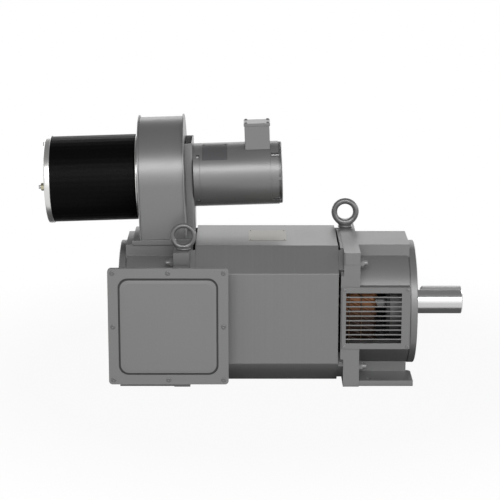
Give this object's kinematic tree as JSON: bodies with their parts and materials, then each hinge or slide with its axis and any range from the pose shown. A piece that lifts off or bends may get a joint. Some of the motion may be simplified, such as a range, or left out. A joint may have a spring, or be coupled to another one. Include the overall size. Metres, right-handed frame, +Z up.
{
  "type": "drip-proof electric motor",
  "caption": "Foot and flange mounted drip-proof electric motor with an octagonal laminated frame, louvred drive end, side terminal box and a filtered scroll blower on top.",
  "frame": {"origin": "centre of the four foot bolts, on the base plane", "axes": "+X along the shaft towards the drive end, +Z up"},
  "size_m": [0.9595, 0.4106, 0.5787],
  "materials": {
    "frame_paint": "semi-gloss grey enamel over stacked laminations",
    "cast_paint": "semi-gloss grey enamel on cast iron",
    "sheet_paint": "semi-gloss grey enamel on sheet steel",
    "fan_motor_paint": "semi-gloss grey enamel on rolled steel",
    "eye_steel": "grey enamel on forged steel",
    "fastener_steel": "plated steel",
    "shaft_steel": "ground steel",
    "bearing_steel": "ground bearing steel",
    "cap_iron": "as cast",
    "lamination_steel": "stacked laminations",
    "cage_aluminium": "die cast",
    "copper_winding": "varnished copper wire",
    "rubber": "matt black",
    "filter_foam": "black open-cell foam",
    "spun_metal": "bright spun metal",
    "brass": "machined brass"
  },
  "bodies": {
    "housing": {"stator_core": "frame_paint", "drive_end_bracket": "cast_paint", "rear_bracket": "cast_paint", "rear_end_cover": "cast_paint", "front_louvre_cover": "sheet_paint", "back_louvre_cover": "sheet_paint", "rear_side_cover": "sheet_paint", "terminal_box_adapter": "sheet_paint", "terminal_box_body": "sheet_paint", "terminal_box_cover": "sheet_paint", "blower_base_plate": "sheet_paint", "scroll_band": "sheet_paint", "scroll_inlet_plate": "sheet_paint", "scroll_motor_plate": "sheet_paint", "motor_mount_pan": "sheet_paint", "motor_mount_plate": "sheet_paint", "fan_motor_shell": "fan_motor_paint", "fan_front_bell": "fan_motor_paint", "fan_rear_bell": "fan_motor_paint", "conduit_box": "fan_motor_paint", "conduit_lid": "fan_motor_paint", "drive_eye_bolt": "eye_steel", "rear_eye_bolt": "eye_steel", "bracket_studs": "fastener_steel", "bracket_nuts": "fastener_steel", "filter_rods": "fastener_steel", "drive_bearing_outer_ring": "bearing_steel", "rear_bearing_outer_ring": "bearing_steel", "fan_front_bearing_outer_ring": "bearing_steel", "fan_rear_bearing_outer_ring": "bearing_steel", "bearing_wave_spring": "bearing_steel", "drive_bearing_cap": "cap_iron", "rear_bearing_cap": "cap_iron", "fan_stator_core": "lamination_steel", "stator_winding": "copper_winding", "fan_stator_coils": "copper_winding", "terminal_box_gasket": "rubber", "shaft_seal": "rubber", "filter_element": "filter_foam", "filter_end_cap": "spun_metal", "inlet_ring": "spun_metal", "filter_nuts": "brass"},
    "rotor": {"motor_shaft": "shaft_steel", "shaft_key": "shaft_steel", "rotor_core": "lamination_steel", "rotor_cage": "cage_aluminium", "drive_bearing_inner_ring": "bearing_steel", "rear_bearing_inner_ring": "bearing_steel"},
    "blower_rotor": {"fan_shaft": "shaft_steel", "fan_rotor_core": "lamination_steel", "impeller": "cage_aluminium", "fan_front_bearing_inner_ring": "bearing_steel", "fan_rear_bearing_inner_ring": "bearing_steel"}
  },
  "joints": [
    {"name": "shaft_spin", "type": "hinge", "parent": "housing", "child": "rotor", "pos_m": [0, 0, 0.15875], "axis": [1, 0, 0], "continuous": true},
    {"name": "blower_spin", "type": "hinge", "parent": "housing", "child": "blower_rotor", "pos_m": [-0.2344, 0.068, 0.43681], "axis": [0.9995, 0, 0.0312], "continuous": true}
  ]
}
